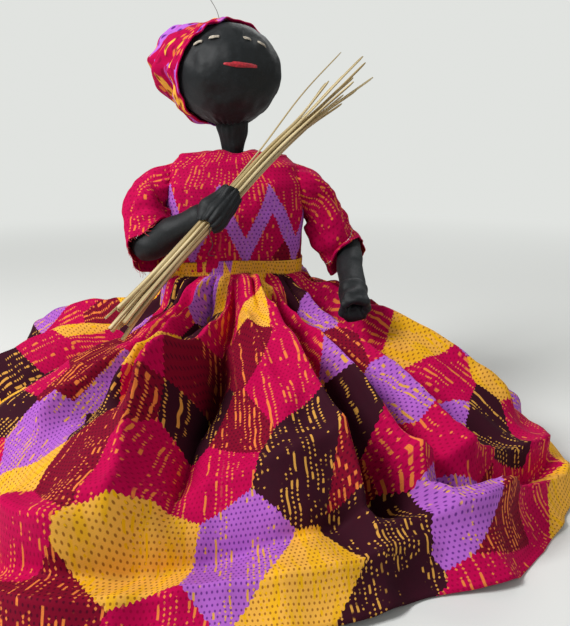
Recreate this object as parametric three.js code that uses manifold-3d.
// Cloth doll in a printed dress and head-wrap, with a straw broom sewn into one hand.
// Millimetres, +Z up. The doll looks towards -Y, and its left side is on +X.
// The origin is on the table, in the middle of the spread skirt.
import * as THREE from 'three';
import { mergeVertices } from 'three/addons/utils/BufferGeometryUtils.js';
import Module from 'manifold-3d';

const wasm = await Module();
wasm.setup();

// Cloth and fits
const GAP = 0.4; // air between two pieces that are sewn or pressed together
const DRESS_CLOTH = 1.2; // dress cloth with its turned edges
const WRAP_CLOTH = 1.8; // two layers of wrap cloth
const WRAP_EASE = 0.9; // air between the head and its wrap
const REST_CLEARANCE = 1; // air between the skirt and what hangs over it

// Body, stuffed
const WAIST_HEIGHT = 132;
const SHOULDER_RISE = 77; // waist to the top of the shoulders
const HIP_DROP = 26; // waist to the flat underside
const BODY_HALF_WIDTH = 47.5;
const BODY_HALF_DEPTH = 31;
const BODY_SQUARENESS = 3; // 2 is an ellipse, more fills the corners
const FULLEST_SHARE = 0.6; // where the body is deepest, as a share of its height
const SLOPE_START = 0.82; // where the sides begin to turn into the shoulders, as a share of the height
const SLOPE_END = 0.94;
// Height above the underside, half width and half depth, each as a share of its own dimension
const BODY_STATIONS = [
  [0, 0.8, 0.72],
  [0.05, 0.93, 0.9],
  [0.26, 1, 1],
  [FULLEST_SHARE, 1, 1.04],
  [SLOPE_START, 0.99, 0.92],
  [SLOPE_END, 0.93, 0.7],
  [1, 0.78, 0.46],
];
const COLLAR_CLEARANCE = 2; // room for the neck to bend inside the neckline

// Neck and head
const NECK_RADIUS = 8.4;
const NECK_TOP_RADIUS = 11;
const NECK_LENGTH = 23; // from its pivot to the head
// Height as a share of the neck's length, and radius as a share of its own
const NECK_STATIONS = [[0.5, 0.96], [0.8, 1]];
const HEAD_HALF_WIDTH = 35;
const HEAD_HALF_DEPTH = 33.5;
const HEAD_HALF_HEIGHT = 33.7;
const CHIN_FLAT = 2; // cut off the underside, where the neck is sewn on
const HEAD_TAPER = 0.03; // how far the cheeks draw in towards the neck
const FACE_TURN = 8; // degrees, towards the doll's left
const STITCH_WIDTH = 2.6;
const STITCH_RISE = 1.5;
const STITCH_END = 0.35; // fullness at the ends as a share of that in the middle
const MOUTH_WIDTH = 4.6;
// Azimuth from the middle of the face and elevation of each end, degrees
const EYE_STITCHES = {
  right_eye_outer_stitch: [[-55, 25], [-43, 31]],
  right_eye_inner_stitch: [[-34, 34], [-18, 36]],
  left_eye_inner_stitch: [[15, 36], [27, 33]],
  left_eye_outer_stitch: [[37, 31], [47, 26]],
};
const MOUTH_STITCH = [[-13, 7], [25, 5]];

// Head-wrap: a cap open round the face, gathered into a bun behind the right ear
const WRAP_OPENING = 94; // degrees from the middle of the opening to its edge
const WRAP_AZIMUTH = 35; // where the opening faces, from the front towards the doll's left
const WRAP_DIP = 20; // and how far it faces down
const WRAP_FOLDS = 9;
const WRAP_FOLD_HEIGHT = 1.6;
const BUN_AZIMUTH = -122; // where the bun sits, from the front towards the doll's left
const BUN_ELEVATION = 10;
const BUN_RADIUS = 24.5;
const BUN_FLATTENING = 0.82;
const BUN_STANDOFF = 9; // middle of the bun, off the head
const BUN_FOLDS = 7;
const BUN_FOLD_HEIGHT = 2;

// Arms: offsets of the elbow from the shoulder, and of the hand
const ARM_SEAT = 1; // how deep the arm sits in the body's side
const SHOULDER_DROP = 20; // shoulder pivot, below the top of the shoulders
const SHOULDER_RADIUS = 9;
const ELBOW_RADIUS = 10;
const WRIST_RADIUS = 9.8;
const LEFT_ELBOW_OUT = 24.4;
const LEFT_ELBOW_FORWARD = 10;
const LEFT_ELBOW_DOWN = 42;
const LEFT_FOREARM_FORWARD = 46;
const LEFT_FOREARM_DOWN = 27;
const HAND_LENGTH = 17;
const HAND_RADIUS = 10.6;
const HAND_BROADNESS = 1.08; // width as a share of the thickness
const HAND_SQUARENESS = 2.4;
// Distance from the wrist as a share of the hand's length, and radius as a share of its own
const HAND_STATIONS = [[0, 0.93], [0.3, 1], [0.7, 1.04], [0.9, 0.9], [1, 0.62]];
const RIGHT_ELBOW_OUT = 6.4;
const RIGHT_ELBOW_FORWARD = 29;
const RIGHT_ELBOW_DOWN = 39;
const GRIP_ASIDE = 9; // the hand that holds the broom: right of the middle
const GRIP_STANDOFF = 22; // in front of the body's half depth
const GRIP_RISE = 46; // above the waist
const GRIP_LENGTH = 26; // cloth of the hand along the broom
const GRIP_WALL = 3.2;
const GRIP_ROUNDING = 1.4; // how far both ends of the grip draw in
const GRIP_BARREL = 0.5; // share of its length that is full

// Sleeves
const ARMHOLE_RADIUS = 17; // where the sleeve is set in
const ARMHOLE_EASE = 5; // room round the arm in the dress
const SLEEVE_LENGTH = 54; // along the arm
const SLEEVE_HALF_WIDTH = 14; // across the bend of the arm, at the hem
const SLEEVE_HALF_DEPTH = 16.5; // in the plane of the bend, at the hem
const SLEEVE_FULLNESS = 0.04; // how much it puffs out half way
const RIGHT_SLEEVE_LENGTH = 50; // it ends at the sharply bent elbow
const ARM_ROOM = 1; // round the forearm where it leaves the right sleeve
const RIGHT_SLEEVE_BEND = 0.4; // how far its end turns from the upper arm's line to the forearm's
const SLEEVE_TURN = 0.5; // share of its length in which it turns from the armhole to the arm

// Broom: a bundle of palm straws, thick at the butts
const INNER_STRAWS = 4;
const OUTER_STRAWS = 10;
const STRAW_THICKNESS = 2.6;
const STRAW_GAP = 0.7; // air between two straws in the grip
const STRAW_TAPER = 0.45; // thickness at the tip as a share of that at the butt
const STRAW_TAPER_FROM = 0.5; // where the taper begins, as a share of the length
const BROOM_DIRECTION = new THREE.Vector3(0.67, 0.27, 0.69).normalize();
const BROOM_BUTT_LEAN = new THREE.Vector3(0.03, -0.12, 0.02); // how the butts bend off the straight
const BROOM_TIP_LEAN = new THREE.Vector3(0.05, -0.11, 0);
const BROOM_BELOW = 104; // from the grip to the butts
const BROOM_ABOVE = 132; // from the grip to the longest tip
const BROOM_STRAIGHT = 40; // kept straight each side of the grip, so that it slides there
const BUTT_SPREAD = 1.5;
const TIP_SPREAD = 2.1;
const STRAW_SHORTENING = 26; // the shortest straw ends this much before the longest
const BUTT_SHORTENING = 0.5; // and as a share of that at the butt
const STRAW_STAGGER = 2.4; // radians from one straw to the next, in the wave that mixes their lengths

// Skirt
const HEM_RADIUS = 229;
const HEM_OVAL = 12; // the spread is this much longer towards HEM_OVAL_AZIMUTH, and shorter across
const HEM_OVAL_AZIMUTH = -52;
const HEM_POINT = 26; // one corner of the cloth is drawn out this far
const HEM_POINT_AZIMUTH = 240;
const HEM_POINT_WIDTH = 20; // degrees to each side
const HEM_RIPPLE = 5;
const HEM_LIFT = 4;
const SKIRT_BELL = 1.3; // 1 is a straight cone, more is a fuller bell
const WAISTBAND = 0.035; // flat under the waist, as a share of the way down
const PLEAT_DROP = 9; // how far the pleats hang down before the cloth flares
const PLEAT_START = 0.1; // where they hang and where they have opened, as shares of the way down
const PLEAT_END = 0.45;
const FOLD_HEIGHT = 6; // wide folds all round
const BILLOW_HEIGHT = 16; // one side stands fuller than the rest
const BILLOW_AZIMUTH = 190;
const FOLD_AZIMUTHS = [183, 212, 247, 283, 305, 336, 375, 408, 437, 464, 490, 517]; // crests, degrees from +X
const FULL_TURN = 360;
// Folds that run down: height (negative in a crease), half width, [share of the way down, degrees] along it
const DOWN_FOLDS = [
  [10, 9, [[0.08, 231], [0.45, 226], [0.62, 224]]],
  [-9, 8, [[0.15, 237], [0.55, 233]]],
  [10, 8, [[0.1, 244], [0.3, 242], [0.48, 240]]],
  [-10, 8, [[0.15, 251], [0.3, 247], [0.5, 244]]],
  [13, 8, [[0.06, 268], [0.2, 263], [0.36, 257], [0.5, 250]]],
  [-11, 8, [[0.14, 268], [0.35, 263], [0.5, 261]]],
  [9, 9, [[0.05, 274], [0.26, 274]]],
  [8, 18, [[0.28, 275], [0.55, 279]]],
  [-17, 10, [[0.42, 263], [0.55, 259], [0.72, 259]]],
  [13, 11, [[0.42, 252], [0.6, 250], [0.76, 253]]],
  [13, 10, [[0.1, 284], [0.3, 286], [0.45, 286], [0.68, 288], [0.8, 289]]],
  [-14, 8, [[0.16, 292], [0.41, 292], [0.56, 293], [0.76, 294]]],
  [14, 9, [[0.12, 299], [0.38, 299], [0.6, 299], [0.8, 300]]],
  [-15, 8, [[0.14, 309], [0.32, 308], [0.59, 305], [0.74, 305]]],
  [12, 10, [[0.12, 318], [0.35, 316], [0.55, 313], [0.7, 311]]],
  [-10, 9, [[0.15, 328], [0.4, 326], [0.6, 324]]],
  [11, 11, [[0.12, 338], [0.5, 337], [0.72, 336]]],
];
// Folds that run round: height, half width, [degrees, share of the way down] along it
const ROUND_FOLDS = [
  [10, 20, [[252, 0.77], [265, 0.72], [275, 0.7], [290, 0.66]]],
  [-10, 11, [[246, 0.89], [264, 0.86], [279, 0.83], [291, 0.81]]],
  [6, 10, [[232, 0.96], [251, 0.94], [265, 0.925], [292, 0.91]]],
  [15, 16, [[238, 0.83], [246, 0.83]]],
  [-10, 10, [[226, 0.9], [236, 0.91]]],
  [14, 12, [[295, 0.87], [309, 0.86]]],
  [10, 9, [[303, 0.73], [310, 0.745], [320, 0.8], [332, 0.88]]],
  [-10, 8, [[303, 0.79], [314, 0.83], [328, 0.91]]],
  [9, 8, [[308, 0.83], [315, 0.875], [328, 0.95]]],
];
const FOLD_FADE = 0.1; // share of the way down in which a fold dies out at its ends
const ROUND_FADE = 10; // degrees in which a fold that runs round dies out
const CREASE_ROUNDING = 0.3; // how round a crease is, as a share of its half width
const FOLD_OUT = 0.5; // the way in which a fold moves the cloth: outward
const FOLD_UP = 0.86; // and up
// Folds at the back, crests and creases by turns
const BACK_FOLDS = 24;
const BACK_START = 349;
const BACK_STEP = 9.6;
const BACK_HEIGHT = 10;
const BACK_WIDTH = 11;
const BACK_STAGGER = 2.4; // radians from one fold to the next, in the waves that mix them
const BACK_SHIFT = 2.5; // degrees
const BACK_DRIFT = 5; // degrees from top to bottom
const BACK_VARIETY = 0.3; // of the height
const BACK_FROM = 0.14;
const BACK_TO = 0.72;
const BACK_TO_VARIETY = 0.14;
const PRESS_RADIUS = 30; // roundness of the dent under a hand or the broom
const SKIRT_SIDES = 68;
const SKIRT_RINGS = 9;
const RING_CROWDING = 1.4; // 1 spaces the rings evenly, more draws them towards the waist

// Legs, stuffed, under the skirt
const LEG_APART = 21; // from the middle
const LEG_SEAT = 5; // how deep the leg sits in the body's underside
const THIGH_RADIUS = 17;
const ANKLE_RADIUS = 11;
const ANKLE_ALONG = 0.65; // where the leg is thinnest, as a share of its length
const SHIN_HEIGHT = 28; // where the leg begins to bend into the foot
const INSTEP = 9; // the bend's end, in front of the leg
const FOOT_LENGTH = 30; // toe, in front of the leg
const FOOT_RADIUS = 10;
const TOE_RADIUS = 6;
const SOLE_DEPTH = 8.2; // middle of the foot above the sole

// Facets
const BODY_SIDES = 28;
const HEAD_SIDES = 32;
const HEAD_ROWS = 20;
const LIMB_SIDES = 14;
const LIMB_RINGS = 11;
const CAP_RINGS = 4;
const STITCH_SIDES = 8;
const STITCH_STEPS = 6;
const SLEEVE_RINGS = 6;
const STRAW_SIDES = 6;
const STRAW_STEPS = 10;

const X = new THREE.Vector3(1, 0, 0);
const Y = new THREE.Vector3(0, 1, 0);
const Z = new THREE.Vector3(0, 0, 1);
const { degToRad, lerp, smoothstep } = THREE.MathUtils;

// Points that the pieces share
const bodyTop = WAIST_HEIGHT + SHOULDER_RISE;
const bodyUnderside = WAIST_HEIGHT - HIP_DROP;
const neckPivot = bodyTop;
const neckTop = neckPivot + NECK_LENGTH;
const headCentre = new THREE.Vector3(0, 0, neckTop + GAP + HEAD_HALF_HEIGHT - CHIN_FLAT);
const shoulderHeight = bodyTop - SHOULDER_DROP;
const shoulderShare = (shoulderHeight - bodyUnderside) / (bodyTop - bodyUnderside);
const shoulderOut = bodySize(shoulderShare)[0] + SHOULDER_RADIUS - ARM_SEAT;
const sleeveStart = BODY_HALF_WIDTH + GAP + DRESS_CLOTH + GAP; // from the middle to a sleeve's seam plane
const sleeveClear = sleeveStart - BODY_HALF_WIDTH + GAP; // from the body to a sleeve beside it
// From the middle to an arm in its sleeve beside the dress
const armClear = BODY_HALF_WIDTH + sleeveClear + DRESS_CLOTH + GAP + ELBOW_RADIUS;
const hipHeight = bodyUnderside + LEG_SEAT - THIGH_RADIUS;
const waistShare = HIP_DROP / (HIP_DROP + SHOULDER_RISE);
const leftShoulder = new THREE.Vector3(shoulderOut, 0, shoulderHeight);
const rightShoulder = new THREE.Vector3(-shoulderOut, 0, shoulderHeight);
const leftHip = new THREE.Vector3(LEG_APART, 0, hipHeight);
const rightHip = new THREE.Vector3(-LEG_APART, 0, hipHeight);
const leftElbow = new THREE.Vector3(LEFT_ELBOW_OUT, -LEFT_ELBOW_FORWARD, -LEFT_ELBOW_DOWN);
leftElbow.add(leftShoulder);
const leftWrist = new THREE.Vector3(0, -LEFT_FOREARM_FORWARD, -LEFT_FOREARM_DOWN).add(leftElbow);
const rightElbow = new THREE.Vector3(-RIGHT_ELBOW_OUT, -RIGHT_ELBOW_FORWARD, -RIGHT_ELBOW_DOWN);
rightElbow.add(rightShoulder);
const grip = new THREE.Vector3(-GRIP_ASIDE, -BODY_HALF_DEPTH - GRIP_STANDOFF, WAIST_HEIGHT + GRIP_RISE);
const rightSleeveEnd = rightElbow.clone().multiplyScalar(2).sub(rightShoulder).lerp(grip, RIGHT_SLEEVE_BEND);

// Straws stand side by side on two rings round the broom's middle line
const strawPitch = STRAW_THICKNESS + STRAW_GAP;
const ringFor = (count) => strawPitch / (2 * Math.sin(Math.PI / count));
const innerStrawRing = ringFor(INNER_STRAWS);
const outerStrawRing = Math.max(innerStrawRing + strawPitch, ringFor(OUTER_STRAWS));
const bundleRadius = outerStrawRing + STRAW_THICKNESS / 2;
const gripRadius = bundleRadius + GAP + GRIP_WALL;

function middleOf(ring) {
  return ring.reduce((sum, point) => sum.add(point), new THREE.Vector3()).divideScalar(ring.length);
}

// A row of rings of equal count becomes one closed skin, with a fan over each end.
function skin(rings, startTip = middleOf(rings[0])) {
  const count = rings[0].length;
  const points = rings.flat();
  const triangles = [];
  for (let row = 0; row < rings.length - 1; row += 1) {
    for (let i = 0; i < count; i += 1) {
      const [a, b] = [row * count + i, row * count + ((i + 1) % count)];
      triangles.push(a, b, b + count, a, b + count, a + count);
    }
  }
  const ends = [[0, startTip, true], [(rings.length - 1) * count, middleOf(rings.at(-1)), false]];
  for (const [start, tip, flip] of ends) {
    points.push(tip);
    for (let i = 0; i < count; i += 1) {
      const [a, b] = [start + i, start + ((i + 1) % count)];
      triangles.push(...(flip ? [b, a] : [a, b]), points.length - 1);
    }
  }
  return outward(points, triangles);
}

// A mesh whose signed volume is negative is turned right side out.
function outward(points, triangles) {
  let volume = 0;
  for (let t = 0; t < triangles.length; t += 3) {
    const [a, b, c] = [0, 1, 2].map((k) => points[triangles[t + k]]);
    volume += a.dot(b.clone().cross(c));
  }
  const geometry = new THREE.BufferGeometry().setFromPoints(points);
  geometry.setIndex(volume > 0 ? triangles : triangles.reverse());
  return geometry;
}

// An oval ring about a centre, in the plane of two axes.
function oval(centre, first, second, halfFirst, halfSecond, count, squareness = 2) {
  const swell = (v) => Math.sign(v) * Math.abs(v) ** (2 / squareness);
  return Array.from({ length: count }, (_, i) => {
    const turn = (2 * Math.PI * i) / count;
    return centre
      .clone()
      .addScaledVector(first, halfFirst * swell(Math.cos(turn)))
      .addScaledVector(second, halfSecond * swell(Math.sin(turn)));
  });
}

// Boolean cut by any number of tools, all closed geometries in one frame.
function cut(geometry, ...tools) {
  return fromSolid(tools.map(toSolid).reduce((body, tool) => body.subtract(tool), toSolid(geometry)));
}

// One skin round closed geometries that overlap.
function unite(...geometries) {
  return fromSolid(geometries.map(toSolid).reduce((body, other) => body.add(other)));
}

function fromSolid(solid) {
  const mesh = solid.getMesh();
  const result = new THREE.BufferGeometry();
  result.setAttribute('position', new THREE.BufferAttribute(mesh.vertProperties, 3));
  result.setIndex(new THREE.BufferAttribute(mesh.triVerts, 1));
  return result;
}

function toSolid(geometry) {
  const bare = geometry.clone();
  bare.deleteAttribute('normal');
  bare.deleteAttribute('uv');
  const merged = mergeVertices(bare);
  return new wasm.Manifold(
    new wasm.Mesh({
      numProp: 3,
      vertProperties: new Float32Array(merged.attributes.position.array),
      triVerts: new Uint32Array(merged.index.array),
    }),
  );
}

function ball(centre, radius) {
  return new THREE.SphereGeometry(radius, HEAD_SIDES, HEAD_ROWS).translate(...centre.toArray());
}

function piece(name, geometry, colour, roughness) {
  const material = new THREE.MeshStandardMaterial({ color: colour, roughness, metalness: 0 });
  const mesh = new THREE.Mesh(geometry, material);
  mesh.name = name;
  return mesh;
}

const blackCloth = (name, geometry) => piece(name, geometry, 0x202426, 0.92);
const printCloth = (name, geometry) => piece(name, geometry, 0xb3203f, 0.85);
const thread = (name, geometry, colour) => piece(name, geometry, colour, 0.7);
const straw = (name, geometry) => piece(name, geometry, 0xb3a06a, 0.75);

// Body and dress top

// Half width and half depth of the body at a share of its height.
function bodySize(share) {
  const next = Math.max(1, BODY_STATIONS.findIndex(([height]) => height >= share));
  const [low, high] = [BODY_STATIONS[next - 1], BODY_STATIONS[next]];
  const mix = (share - low[0]) / (high[0] - low[0]);
  return [lerp(low[1], high[1], mix) * BODY_HALF_WIDTH, lerp(low[2], high[2], mix) * BODY_HALF_DEPTH];
}

// The body's outline at a height, grown by an offset that also lifts it over the shoulders.
function bodyRing(share, offset, count) {
  const [halfWidth, halfDepth] = bodySize(share);
  const lift = offset * smoothstep(share, SLOPE_START, SLOPE_END);
  const centre = new THREE.Vector3(0, 0, lerp(bodyUnderside, bodyTop, share) + lift);
  return oval(centre, X, Y, halfWidth + offset, halfDepth + offset, count, BODY_SQUARENESS);
}

function torso() {
  const rings = BODY_STATIONS.map(([share]) => bodyRing(share, 0, BODY_SIDES));
  const neckSocket = ball(new THREE.Vector3(0, 0, neckPivot), NECK_RADIUS + GAP);
  const armSockets = [leftShoulder, rightShoulder].map((centre) => ball(centre, SHOULDER_RADIUS + GAP));
  const legSockets = [leftHip, rightHip].map((centre) => ball(centre, THIGH_RADIUS + GAP));
  return cut(skin(rings), neckSocket, ...armSockets, ...legSockets);
}

function bodice() {
  const shares = [waistShare, ...BODY_STATIONS.map(([share]) => share).filter((share) => share > waistShare)];
  const side = (offset) => {
    const rings = shares.map((share) => bodyRing(share, offset, BODY_SIDES));
    const collar = new THREE.Vector3(0, 0, bodyTop + offset);
    const opening = NECK_RADIUS + COLLAR_CLEARANCE;
    return [...rings, oval(collar, X, Y, opening, opening, BODY_SIDES)];
  };
  const shell = shellSkin(side(GAP + DRESS_CLOTH), side(GAP));
  const opening = SHOULDER_RADIUS + ARMHOLE_EASE;
  const armholes = [leftShoulder, rightShoulder].map((centre) => ball(centre, opening));
  return cut(shell, ...armholes);
}

// A cloth from the rings of its two sides, in one order. Both sides bend along the same diagonals.
function shellSkin(outer, inner) {
  const rings = [...outer, ...inner.slice().reverse()];
  const count = rings[0].length;
  const triangles = [];
  for (let row = 0; row < rings.length; row += 1) {
    const after = (row + 1) % rings.length;
    for (let i = 0; i < count; i += 1) {
      const next = (i + 1) % count;
      const [a, b, c, d] = [row * count + i, row * count + next, after * count + next, after * count + i];
      triangles.push(...(row < outer.length ? [a, b, c, a, c, d] : [a, b, d, b, c, d]));
    }
  }
  return outward(rings.flat(), triangles);
}

// Neck and head

function neck() {
  const profile = [];
  for (let i = 0; i <= 2 * CAP_RINGS; i += 1) {
    const angle = (Math.PI / 2) * (i / (2 * CAP_RINGS) - 1);
    profile.push(new THREE.Vector2(NECK_RADIUS * Math.cos(angle), NECK_RADIUS * Math.sin(angle)));
  }
  profile[0].x = 0;
  for (const [height, width] of NECK_STATIONS) {
    profile.push(new THREE.Vector2(NECK_RADIUS * width, NECK_LENGTH * height));
  }
  profile.push(new THREE.Vector2(NECK_TOP_RADIUS, NECK_LENGTH));
  profile.push(new THREE.Vector2(0, NECK_LENGTH));
  return new THREE.LatheGeometry(profile, BODY_SIDES).rotateX(Math.PI / 2);
}

// Distance from the middle of the head to its surface: an ellipsoid that draws in below like a bulb.
function headReach(direction) {
  const { x, y, z } = direction;
  const reach = 1 / Math.hypot(x / HEAD_HALF_WIDTH, y / HEAD_HALF_DEPTH, z / HEAD_HALF_HEIGHT);
  const below = Math.min(0, 2 * z * Math.sqrt(Math.max(0, 1 - z * z)));
  return reach * (1 + HEAD_TAPER * below);
}

const onHead = (direction, offset) => direction.clone().multiplyScalar(headReach(direction) + offset);

// A direction from the middle of the head: azimuth from the front towards the doll's left, and elevation.
function faceDirection(azimuth, elevation) {
  const [turn, lift] = [degToRad(azimuth), degToRad(elevation)];
  return new THREE.Vector3(Math.sin(turn) * Math.cos(lift), -Math.cos(turn) * Math.cos(lift), Math.sin(lift));
}

function head() {
  const geometry = new THREE.SphereGeometry(1, HEAD_SIDES, HEAD_ROWS).rotateX(Math.PI / 2);
  const position = geometry.attributes.position;
  const floor = neckTop + GAP - headCentre.z;
  for (let i = 0; i < position.count; i += 1) {
    const direction = new THREE.Vector3().fromBufferAttribute(position, i).normalize();
    const point = onHead(direction, 0);
    position.setXYZ(i, point.x, point.y, Math.max(floor, point.z));
  }
  return geometry;
}

// A satin stitch lying on the face: full in the middle, drawn in at both ends.
function stitch([start, end], width) {
  const at = (along) =>
    faceDirection(lerp(start[0], end[0], along) + FACE_TURN, lerp(start[1], end[1], along));
  const ahead = at(1).sub(at(0));
  const rings = [];
  for (let i = 0; i <= STITCH_STEPS; i += 1) {
    const direction = at(i / STITCH_STEPS);
    const across = direction.clone().cross(ahead).normalize();
    const half = lerp(STITCH_END, 1, Math.sin((Math.PI * i) / STITCH_STEPS)) / 2;
    const centre = onHead(direction, GAP + STITCH_RISE / 2);
    rings.push(oval(centre, across, direction, width * half, STITCH_RISE * half, STITCH_SIDES));
  }
  return skin(rings);
}

// The wrap's own axes: the opening faces along the first.
function wrapAxes() {
  const opening = faceDirection(WRAP_AZIMUTH, -WRAP_DIP);
  const across = Z.clone().cross(opening).normalize();
  return [opening, across, opening.clone().cross(across)];
}

function wrapRing(polar, offset) {
  const [opening, across, upward] = wrapAxes();
  return Array.from({ length: HEAD_SIDES }, (_, i) => {
    const turn = (2 * Math.PI * i) / HEAD_SIDES;
    const radial = across.clone().multiplyScalar(Math.cos(turn)).addScaledVector(upward, Math.sin(turn));
    const direction = radial.multiplyScalar(Math.sin(polar)).addScaledVector(opening, -Math.cos(polar));
    return onHead(direction, offset(turn));
  });
}

// The outside of the wrap, from the bun to its edge, grown by an offset.
function wrapOutside(grow) {
  const edge = degToRad(180 - WRAP_OPENING);
  const fold = (turn, polar) => 0.5 + 0.5 * Math.cos(WRAP_FOLDS * turn + polar);
  return wrapPolars().map((polar) => {
    const height = WRAP_FOLD_HEIGHT * Math.sin((Math.PI * polar) / edge);
    return wrapRing(polar, (turn) => WRAP_EASE + WRAP_CLOTH + height * fold(turn, polar) + grow);
  });
}

function wrapPolars() {
  const count = CAP_RINGS * 2;
  return Array.from({ length: count }, (_, i) => (degToRad(180 - WRAP_OPENING) * (i + 1)) / count);
}

function headwrap() {
  const inside = wrapPolars().map((polar) => wrapRing(polar, () => WRAP_EASE));
  return skin([...wrapOutside(0), ...inside.reverse()]);
}

// The bun: a flattened, pleated ball pressed against the wrap.
function bun() {
  const geometry = new THREE.SphereGeometry(1, HEAD_SIDES, HEAD_ROWS);
  const position = geometry.attributes.position;
  for (let i = 0; i < position.count; i += 1) {
    const point = new THREE.Vector3().fromBufferAttribute(position, i);
    const turn = Math.atan2(point.z, point.x);
    const pleat = BUN_FOLD_HEIGHT * Math.cos(BUN_FOLDS * turn) * (1 - point.y * point.y);
    point.multiplyScalar(BUN_RADIUS + pleat);
    position.setXYZ(i, point.x, point.y * BUN_FLATTENING, point.z);
  }
  const outwards = faceDirection(BUN_AZIMUTH, BUN_ELEVATION);
  const turn = new THREE.Quaternion().setFromUnitVectors(Y, outwards);
  const middle = onHead(outwards, BUN_STANDOFF);
  return cut(geometry.applyQuaternion(turn).translate(...middle.toArray()), skin(wrapOutside(GAP)));
}

// Arms and sleeves

// The normal of the plane that an arm bends in.
function bendNormal(shoulder, elbow, hand) {
  return elbow.clone().sub(shoulder).cross(hand.clone().sub(elbow)).normalize();
}

// The middle of an upper arm, moved out where it would touch the dress.
function besideDress(shoulder, elbow) {
  const middle = shoulder.clone().lerp(elbow, 0.5);
  return middle.setX(Math.sign(shoulder.x) * Math.max(armClear, Math.abs(middle.x)));
}

// A stuffed limb: a half ball in its seam, then a soft tube along a curve, flat where it meets the table.
function limb(curve, normal, radiusAt) {
  const ring = (centre, along, radius) =>
    oval(centre, normal, along.clone().cross(normal).normalize(), radius, radius, LIMB_SIDES);
  const [seam, heading, root] = [curve.getPointAt(0), curve.getTangentAt(0), radiusAt(0)];
  const rings = [];
  for (let i = 1; i < CAP_RINGS; i += 1) {
    const angle = (Math.PI / 2) * (1 - i / CAP_RINGS);
    const centre = seam.clone().addScaledVector(heading, -root * Math.sin(angle));
    rings.push(ring(centre, heading, root * Math.cos(angle)));
  }
  for (let i = 0; i <= LIMB_RINGS; i += 1) {
    const along = i / LIMB_RINGS;
    rings.push(ring(curve.getPointAt(along), curve.getTangentAt(along), radiusAt(along)));
  }
  for (const point of rings.flat()) {
    point.z = Math.max(0, point.z);
  }
  return skin(rings, seam.clone().addScaledVector(heading, -root));
}

// An arm: a tube to the elbow and one on to the hand, under one skin; it fills out at the elbow.
function arm(shoulder, elbow, hand) {
  const normal = bendNormal(shoulder, elbow, hand);
  const upperRadius = (along) => lerp(SHOULDER_RADIUS, ELBOW_RADIUS, smoothstep(along, 0, 1));
  const lowerRadius = (along) => lerp(ELBOW_RADIUS, WRIST_RADIUS, smoothstep(along, 0, 1));
  const upper = new THREE.CatmullRomCurve3([shoulder, besideDress(shoulder, elbow), elbow]);
  const lower = new THREE.LineCurve3(elbow, hand);
  return unite(limb(upper, normal, upperRadius), limb(lower, normal, lowerRadius));
}

function leftHand() {
  const along = leftWrist.clone().sub(leftElbow).normalize();
  const normal = bendNormal(leftShoulder, leftElbow, leftWrist);
  const other = along.clone().cross(normal);
  const rings = HAND_STATIONS.map(([share, swell]) => {
    const centre = leftWrist.clone().addScaledVector(along, GAP + share * HAND_LENGTH);
    const radius = HAND_RADIUS * swell;
    return oval(centre, normal, other, radius * HAND_BROADNESS, radius, LIMB_SIDES, HAND_SQUARENESS);
  });
  return skin(rings);
}

// The hand that is sewn round the broom: a soft barrel with the bundle through it.
function rightHand() {
  const bore = bundleRadius + GAP;
  const half = GRIP_LENGTH / 2;
  const full = half * GRIP_BARREL;
  const rim = gripRadius - GRIP_ROUNDING;
  const profile = [
    [bore, -half],
    [rim, -half],
    [gripRadius, -full],
    [gripRadius, full],
    [rim, half],
    [bore, half],
    [bore, -half],
  ].map(([x, y]) => new THREE.Vector2(x, y));
  return alongBroom(new THREE.LatheGeometry(profile, BODY_SIDES));
}

// Turns a geometry made along Y into the broom's line, through the grip.
function alongBroom(geometry) {
  const turn = new THREE.Quaternion().setFromUnitVectors(Y, BROOM_DIRECTION);
  return geometry.applyQuaternion(turn).translate(...grip.toArray());
}

function rightArm() {
  const radius = gripRadius + GAP;
  const length = GRIP_LENGTH + 2 * (WRIST_RADIUS + ELBOW_RADIUS);
  const room = new THREE.CylinderGeometry(radius, radius, length, BODY_SIDES);
  return cut(arm(rightShoulder, rightElbow, grip), alongBroom(room));
}

// Moves a point out of the dress, to a distance from the widest outline of the body.
function besideBody(point, distance) {
  const [halfWidth, halfDepth] = bodySize(FULLEST_SHARE).map((size) => size + distance);
  const wide = Math.abs(point.x / halfWidth) ** BODY_SQUARENESS;
  const deep = Math.abs(point.y / halfDepth) ** BODY_SQUARENESS;
  const outwards = Math.max(1, (wide + deep) ** (-1 / BODY_SQUARENESS));
  return point.set(point.x * outwards, point.y * outwards, point.z);
}

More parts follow.
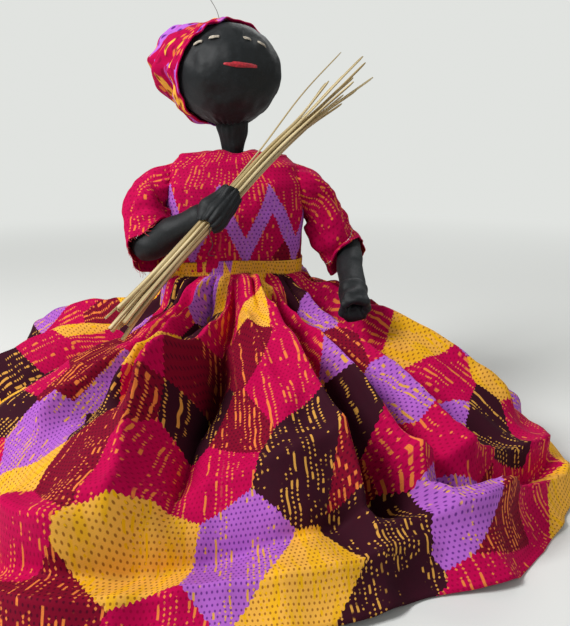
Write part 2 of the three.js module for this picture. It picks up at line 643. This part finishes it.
// A sleeve: a ring in the armhole that widens to an oval hem round the arm, flat where it lies on the dress.
function sleeveRings(shoulder, elbow, hand, length, thickness) {
  const forearm = elbow.clone().lerp(hand, 0.5);
  const curve = new THREE.CatmullRomCurve3([shoulder, besideDress(shoulder, elbow), elbow, forearm, hand]);
  const total = curve.getLength();
  const normal = bendNormal(shoulder, elbow, hand);
  const outwards = X.clone().multiplyScalar(Math.sign(shoulder.x));
  const armhole = shoulder.clone().setX(outwards.x * sleeveStart);
  return Array.from({ length: SLEEVE_RINGS }, (_, i) => {
    const share = i / (SLEEVE_RINGS - 1);
    const distance = (share * length) / total;
    const leave = smoothstep(share, 0, SLEEVE_TURN);
    const facing = outwards.clone().lerp(curve.getTangentAt(distance), leave).normalize();
    const first = normal.clone().addScaledVector(facing, -normal.dot(facing)).normalize();
    const second = facing.clone().cross(first);
    const centre = share === 0 ? armhole : curve.getPointAt(distance);
    const full = 1 + SLEEVE_FULLNESS * Math.sin(Math.PI * share);
    const halfWidth = lerp(ARMHOLE_RADIUS, SLEEVE_HALF_WIDTH, share) * full - thickness;
    const halfDepth = lerp(ARMHOLE_RADIUS, SLEEVE_HALF_DEPTH, share) * full - thickness;
    const ring = oval(centre, first, second, halfWidth, halfDepth, BODY_SIDES);
    return share === 0 ? ring : ring.map((point) => besideBody(point, sleeveClear + thickness));
  });
}

function sleeve(shoulder, elbow, hand, length) {
  const side = (thickness) => sleeveRings(shoulder, elbow, hand, length, thickness);
  return shellSkin(side(0), side(DRESS_CLOTH));
}

// The right sleeve stays open on the inside of the bend, where the forearm leaves it.
function rightSleeveSolid() {
  const whole = sleeve(rightShoulder, rightElbow, rightSleeveEnd, RIGHT_SLEEVE_LENGTH);
  const normal = bendNormal(rightShoulder, rightElbow, grip);
  return cut(whole, limb(new THREE.LineCurve3(rightElbow, grip), normal, () => ELBOW_RADIUS + ARM_ROOM));
}

// Broom

// The middle line of one straw: straight through the grip, splayed at the butt and more at the tip.
function strawCurve(sideways, shortening) {
  const at = (distance, spread, lean) =>
    grip
      .clone()
      .addScaledVector(BROOM_DIRECTION, distance)
      .addScaledVector(lean, Math.abs(distance))
      .addScaledVector(sideways, spread);
  const none = new THREE.Vector3();
  return new THREE.CatmullRomCurve3([
    at(-BROOM_BELOW + shortening * BUTT_SHORTENING, BUTT_SPREAD, BROOM_BUTT_LEAN),
    at(-BROOM_STRAIGHT, 1, none),
    at(0, 1, none),
    at(BROOM_STRAIGHT, 1, none),
    at(BROOM_ABOVE - shortening, TIP_SPREAD, BROOM_TIP_LEAN),
  ]);
}

function strawSolid(sideways, shortening) {
  const curve = strawCurve(sideways, shortening);
  const frames = curve.computeFrenetFrames(STRAW_STEPS, false);
  const rings = frames.tangents.map((_, i) => {
    const along = i / STRAW_STEPS;
    const radius = (STRAW_THICKNESS / 2) * lerp(1, STRAW_TAPER, smoothstep(along, STRAW_TAPER_FROM, 1));
    return oval(curve.getPointAt(along), frames.normals[i], frames.binormals[i], radius, radius, STRAW_SIDES);
  });
  return skin(rings);
}

function straws() {
  const across = BROOM_DIRECTION.clone().cross(Y).normalize();
  const other = BROOM_DIRECTION.clone().cross(across);
  const meshes = [];
  for (const [count, radius] of [[INNER_STRAWS, innerStrawRing], [OUTER_STRAWS, outerStrawRing]]) {
    for (let i = 0; i < count; i += 1) {
      const turn = (2 * Math.PI * i) / count;
      const sideways = across
        .clone()
        .multiplyScalar(radius * Math.cos(turn))
        .addScaledVector(other, radius * Math.sin(turn));
      const number = meshes.length + 1;
      const shortening = STRAW_SHORTENING * (0.5 + 0.5 * Math.sin(number * STRAW_STAGGER));
      meshes.push(straw(`straw_${String(number).padStart(2, '0')}`, strawSolid(sideways, shortening)));
    }
  }
  return meshes;
}

// Legs

// A leg sits in the body's underside and ends in a foot with a flat sole.
function leg(hip) {
  const down = (forward, height) => new THREE.Vector3(hip.x, -forward, height);
  const curve = new THREE.CatmullRomCurve3([
    hip,
    down(0, (hipHeight + SHIN_HEIGHT) / 2),
    down(0, SHIN_HEIGHT),
    down(INSTEP, SOLE_DEPTH),
    down(FOOT_LENGTH, SOLE_DEPTH),
  ]);
  const radiusAt = (along) => {
    if (along === 1) {
      return TOE_RADIUS;
    }
    return along < ANKLE_ALONG
      ? lerp(THIGH_RADIUS, ANKLE_RADIUS, smoothstep(along, 0, ANKLE_ALONG))
      : lerp(ANKLE_RADIUS, FOOT_RADIUS, smoothstep(along, ANKLE_ALONG, 1));
  };
  return limb(curve, X, radiusAt);
}

// Skirt

// 1 on the crest of a fold and -1 in the valley between two crests.
function foldAt(azimuth) {
  const first = FOLD_AZIMUTHS[0];
  const turned = THREE.MathUtils.radToDeg(azimuth) - first;
  const degrees = first + THREE.MathUtils.euclideanModulo(turned, FULL_TURN);
  const crests = [...FOLD_AZIMUTHS, first + FULL_TURN];
  const next = crests.findIndex((crest) => crest > degrees);
  const share = (degrees - crests[next - 1]) / (crests[next] - crests[next - 1]);
  return Math.cos(2 * Math.PI * share);
}

// Signed turn from one azimuth to another, in radians within half a turn.
function turnBetween(from, to) {
  return THREE.MathUtils.euclideanModulo(to - from + Math.PI, 2 * Math.PI) - Math.PI;
}

// Straight lines through marks [x, y], level beyond both ends.
function readMarks(marks, x) {
  const next = marks.findIndex(([at]) => at > x);
  if (next === 0) return marks[0][1];
  if (next < 0) return marks.at(-1)[1];
  const [[fromX, fromY], [toX, toY]] = marks.slice(next - 1, next + 1);
  return lerp(fromY, toY, (x - fromX) / (toX - fromX));
}

// 1 between the ends of a fold, fading to 0 beyond them.
function endFade(marks, x, fade) {
  const [first, last] = [marks[0][0], marks.at(-1)[0]];
  return smoothstep(x, first - fade, first) * (1 - smoothstep(x, last, last + fade));
}

// Across a fold: a rounded crest, or a crease where the height is negative.
function foldShape(away, height, halfWidth) {
  const share = away / halfWidth;
  const crease = CREASE_ROUNDING - Math.hypot(share, CREASE_ROUNDING);
  return height * Math.exp(height > 0 ? -share * share : crease);
}

// The folds behind the doll, mixed by waves over their number.
function backFolds() {
  return Array.from({ length: BACK_FOLDS }, (_, k) => {
    const wave = Math.sin(BACK_STAGGER * k);
    const place = BACK_START + BACK_STEP * k + BACK_SHIFT * wave;
    const height = BACK_HEIGHT * (-1) ** k * (1 + BACK_VARIETY * Math.cos(BACK_STAGGER * k));
    const end = BACK_TO + BACK_TO_VARIETY * Math.cos(2 * BACK_STAGGER * k);
    const drift = BACK_DRIFT * Math.sin(2 * BACK_STAGGER * k);
    return [height, BACK_WIDTH, [[BACK_FROM, place], [end, place + drift]]];
  });
}

// How far all placed folds move the cloth at one spot.
function foldPush(azimuth, down, reach) {
  const degrees = THREE.MathUtils.euclideanModulo(THREE.MathUtils.radToDeg(azimuth), FULL_TURN);
  const running = [...DOWN_FOLDS, ...backFolds()].map(([height, halfWidth, marks]) => {
    const away = turnBetween(degToRad(readMarks(marks, down)), azimuth) * reach;
    return foldShape(away, height, halfWidth) * endFade(marks, down, FOLD_FADE);
  });
  const round = ROUND_FOLDS.map(([height, halfWidth, marks]) => {
    const away = (down - readMarks(marks, degrees)) * HEM_RADIUS;
    return foldShape(away, height, halfWidth) * endFade(marks, degrees, ROUND_FADE);
  });
  const total = [...running, ...round].reduce((sum, push) => sum + push, 0);
  return total * smoothstep(down, WAISTBAND, PLEAT_START);
}

// How high the skirt may lie where a hand, a sleeve or the broom hangs over it.
function pressedHeight(point, hanging) {
  const limits = hanging.map((low) => {
    const away = Math.hypot(point.x - low.x, point.y - low.y);
    return low.z - REST_CLEARANCE + (away * away) / (2 * PRESS_RADIUS);
  });
  return Math.min(point.z, ...limits);
}

// Distance from the middle to the dress at the waist, in one direction.
function waistReach(azimuth) {
  const sizes = bodySize(waistShare).map((size) => size + GAP + DRESS_CLOTH);
  const [across, along] = [Math.cos(azimuth) / sizes[0], Math.sin(azimuth) / sizes[1]].map(Math.abs);
  return (across ** BODY_SQUARENESS + along ** BODY_SQUARENESS) ** (-1 / BODY_SQUARENESS);
}

// One ring of the skirt's outside, from 0 at the waist to 1 at the hem.
function skirtRing(down, hanging) {
  return Array.from({ length: SKIRT_SIDES }, (_, i) => {
    const azimuth = (2 * Math.PI * i) / SKIRT_SIDES;
    const fold = foldAt(azimuth);
    const billow = Math.max(0, Math.cos(azimuth - degToRad(BILLOW_AZIMUTH))) ** 2;
    const spread = HEM_OVAL * Math.cos(2 * (azimuth - degToRad(HEM_OVAL_AZIMUTH)));
    const corner = turnBetween(degToRad(HEM_POINT_AZIMUTH), azimuth) / degToRad(HEM_POINT_WIDTH);
    const hem = HEM_RADIUS + spread + HEM_RIPPLE * fold + HEM_POINT * Math.exp(-corner * corner);
    const bell = lerp(waistReach(azimuth), hem, Math.max(0, down - WAISTBAND) / (1 - WAISTBAND));
    const push = FOLD_HEIGHT * fold * Math.sin(Math.PI * down) + foldPush(azimuth, down, bell);
    const reach = bell + FOLD_OUT * push;
    const pleats = smoothstep(down, WAISTBAND, PLEAT_START) * (1 - smoothstep(down, PLEAT_START, PLEAT_END));
    const height = (WAIST_HEIGHT - GAP) * (1 - down ** SKIRT_BELL) - PLEAT_DROP * pleats + FOLD_UP * push
      + BILLOW_HEIGHT * billow * Math.sin(Math.PI * down * down)
      + (DRESS_CLOTH + HEM_LIFT * (0.5 + 0.5 * fold)) * down * down;
    const point = new THREE.Vector3(Math.cos(azimuth) * reach, Math.sin(azimuth) * reach, height);
    return point.setZ(Math.max(DRESS_CLOTH, pressedHeight(point, hanging)));
  });
}

// The inner side of a cloth: each point moved square to the cloth, and level along its first ring.
function clothInside(rings, thickness) {
  return rings.map((ring, i) => ring.map((point, j) => {
    const around = ring[(j + 1) % ring.length].clone().sub(ring.at(j - 1));
    const along = (rings[i + 1] ?? ring)[j].clone().sub((rings[i - 1] ?? ring)[j]);
    const outwards = along.cross(around);
    outwards.z = i === 0 ? 0 : outwards.z;
    return point.clone().addScaledVector(outwards.normalize(), -thickness);
  }));
}

function skirt(hanging) {
  const shares = Array.from({ length: SKIRT_RINGS }, (_, i) => (i / (SKIRT_RINGS - 1)) ** RING_CROWDING);
  const outer = shares.map((down) => skirtRing(down, hanging));
  return shellSkin(outer, clothInside(outer, DRESS_CLOTH));
}

// The lowest corner of a mesh, where the skirt has to lie under it.
function lowestPoint(mesh) {
  const position = mesh.geometry.attributes.position;
  const corner = (_, i) => new THREE.Vector3().fromBufferAttribute(position, i);
  const corners = Array.from({ length: position.count }, corner);
  return corners.reduce((low, point) => (point.z < low.z ? point : low));
}

// Assembly
const doll = new THREE.Group();

const headGroup = new THREE.Group();
headGroup.position.copy(headCentre);
headGroup.add(blackCloth('head', head()));
headGroup.add(printCloth('headwrap', headwrap()));
headGroup.add(printCloth('headwrap_bun', bun()));
for (const [name, ends] of Object.entries(EYE_STITCHES)) {
  headGroup.add(thread(name, stitch(ends, STITCH_WIDTH), 0xe8dcc0));
}
headGroup.add(thread('mouth_stitch', stitch(MOUTH_STITCH, MOUTH_WIDTH), 0xc0202c));

const neckMesh = blackCloth('neck', neck());
neckMesh.position.z = neckPivot;
const leftSleeve = printCloth('left_sleeve', sleeve(leftShoulder, leftElbow, leftWrist, SLEEVE_LENGTH));
const rightSleeve = printCloth('right_sleeve', rightSleeveSolid());
const leftHandMesh = blackCloth('left_hand', leftHand());
const broom = straws();
const hanging = [leftSleeve, rightSleeve, leftHandMesh, ...broom].map(lowestPoint);

doll.add(blackCloth('torso', torso()), printCloth('bodice', bodice()), printCloth('skirt', skirt(hanging)));
doll.add(neckMesh, headGroup);
doll.add(blackCloth('left_arm', arm(leftShoulder, leftElbow, leftWrist)), leftHandMesh, leftSleeve);
doll.add(blackCloth('right_arm', rightArm()), blackCloth('right_hand', rightHand()), rightSleeve);
doll.add(...broom);
doll.add(blackCloth('left_leg', leg(leftHip)), blackCloth('right_leg', leg(rightHip)));

export default doll;
